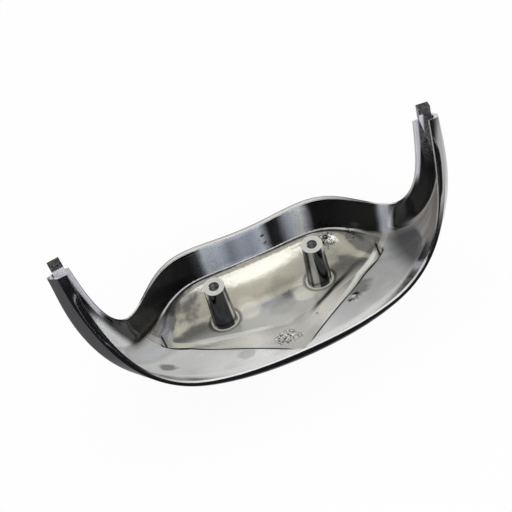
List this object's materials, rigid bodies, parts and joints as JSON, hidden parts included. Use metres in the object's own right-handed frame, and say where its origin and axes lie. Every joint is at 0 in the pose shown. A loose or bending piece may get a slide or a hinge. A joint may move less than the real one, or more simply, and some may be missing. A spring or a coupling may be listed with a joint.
{
  "type": "fender tip",
  "caption": "Chromed cast trim tip for a motorcycle front fender: a shallow dish with a rear wall, screw bosses inside and side arms that wrap up the fender",
  "frame": {"origin": "midway between the faces of the two screw bosses", "axes": "X across the fender with X=0 the mirror plane, Y from the front lip to the rear wall, Z along the bosses towards the fender"},
  "size_m": [0.2144, 0.0975, 0.124],
  "materials": {
    "chrome": "polished chrome outside and on the walls, satin as-cast chrome on the inner floor"
  },
  "bodies": {
    "root": {"fender_tip": "chrome"}
  },
  "joints": []
}
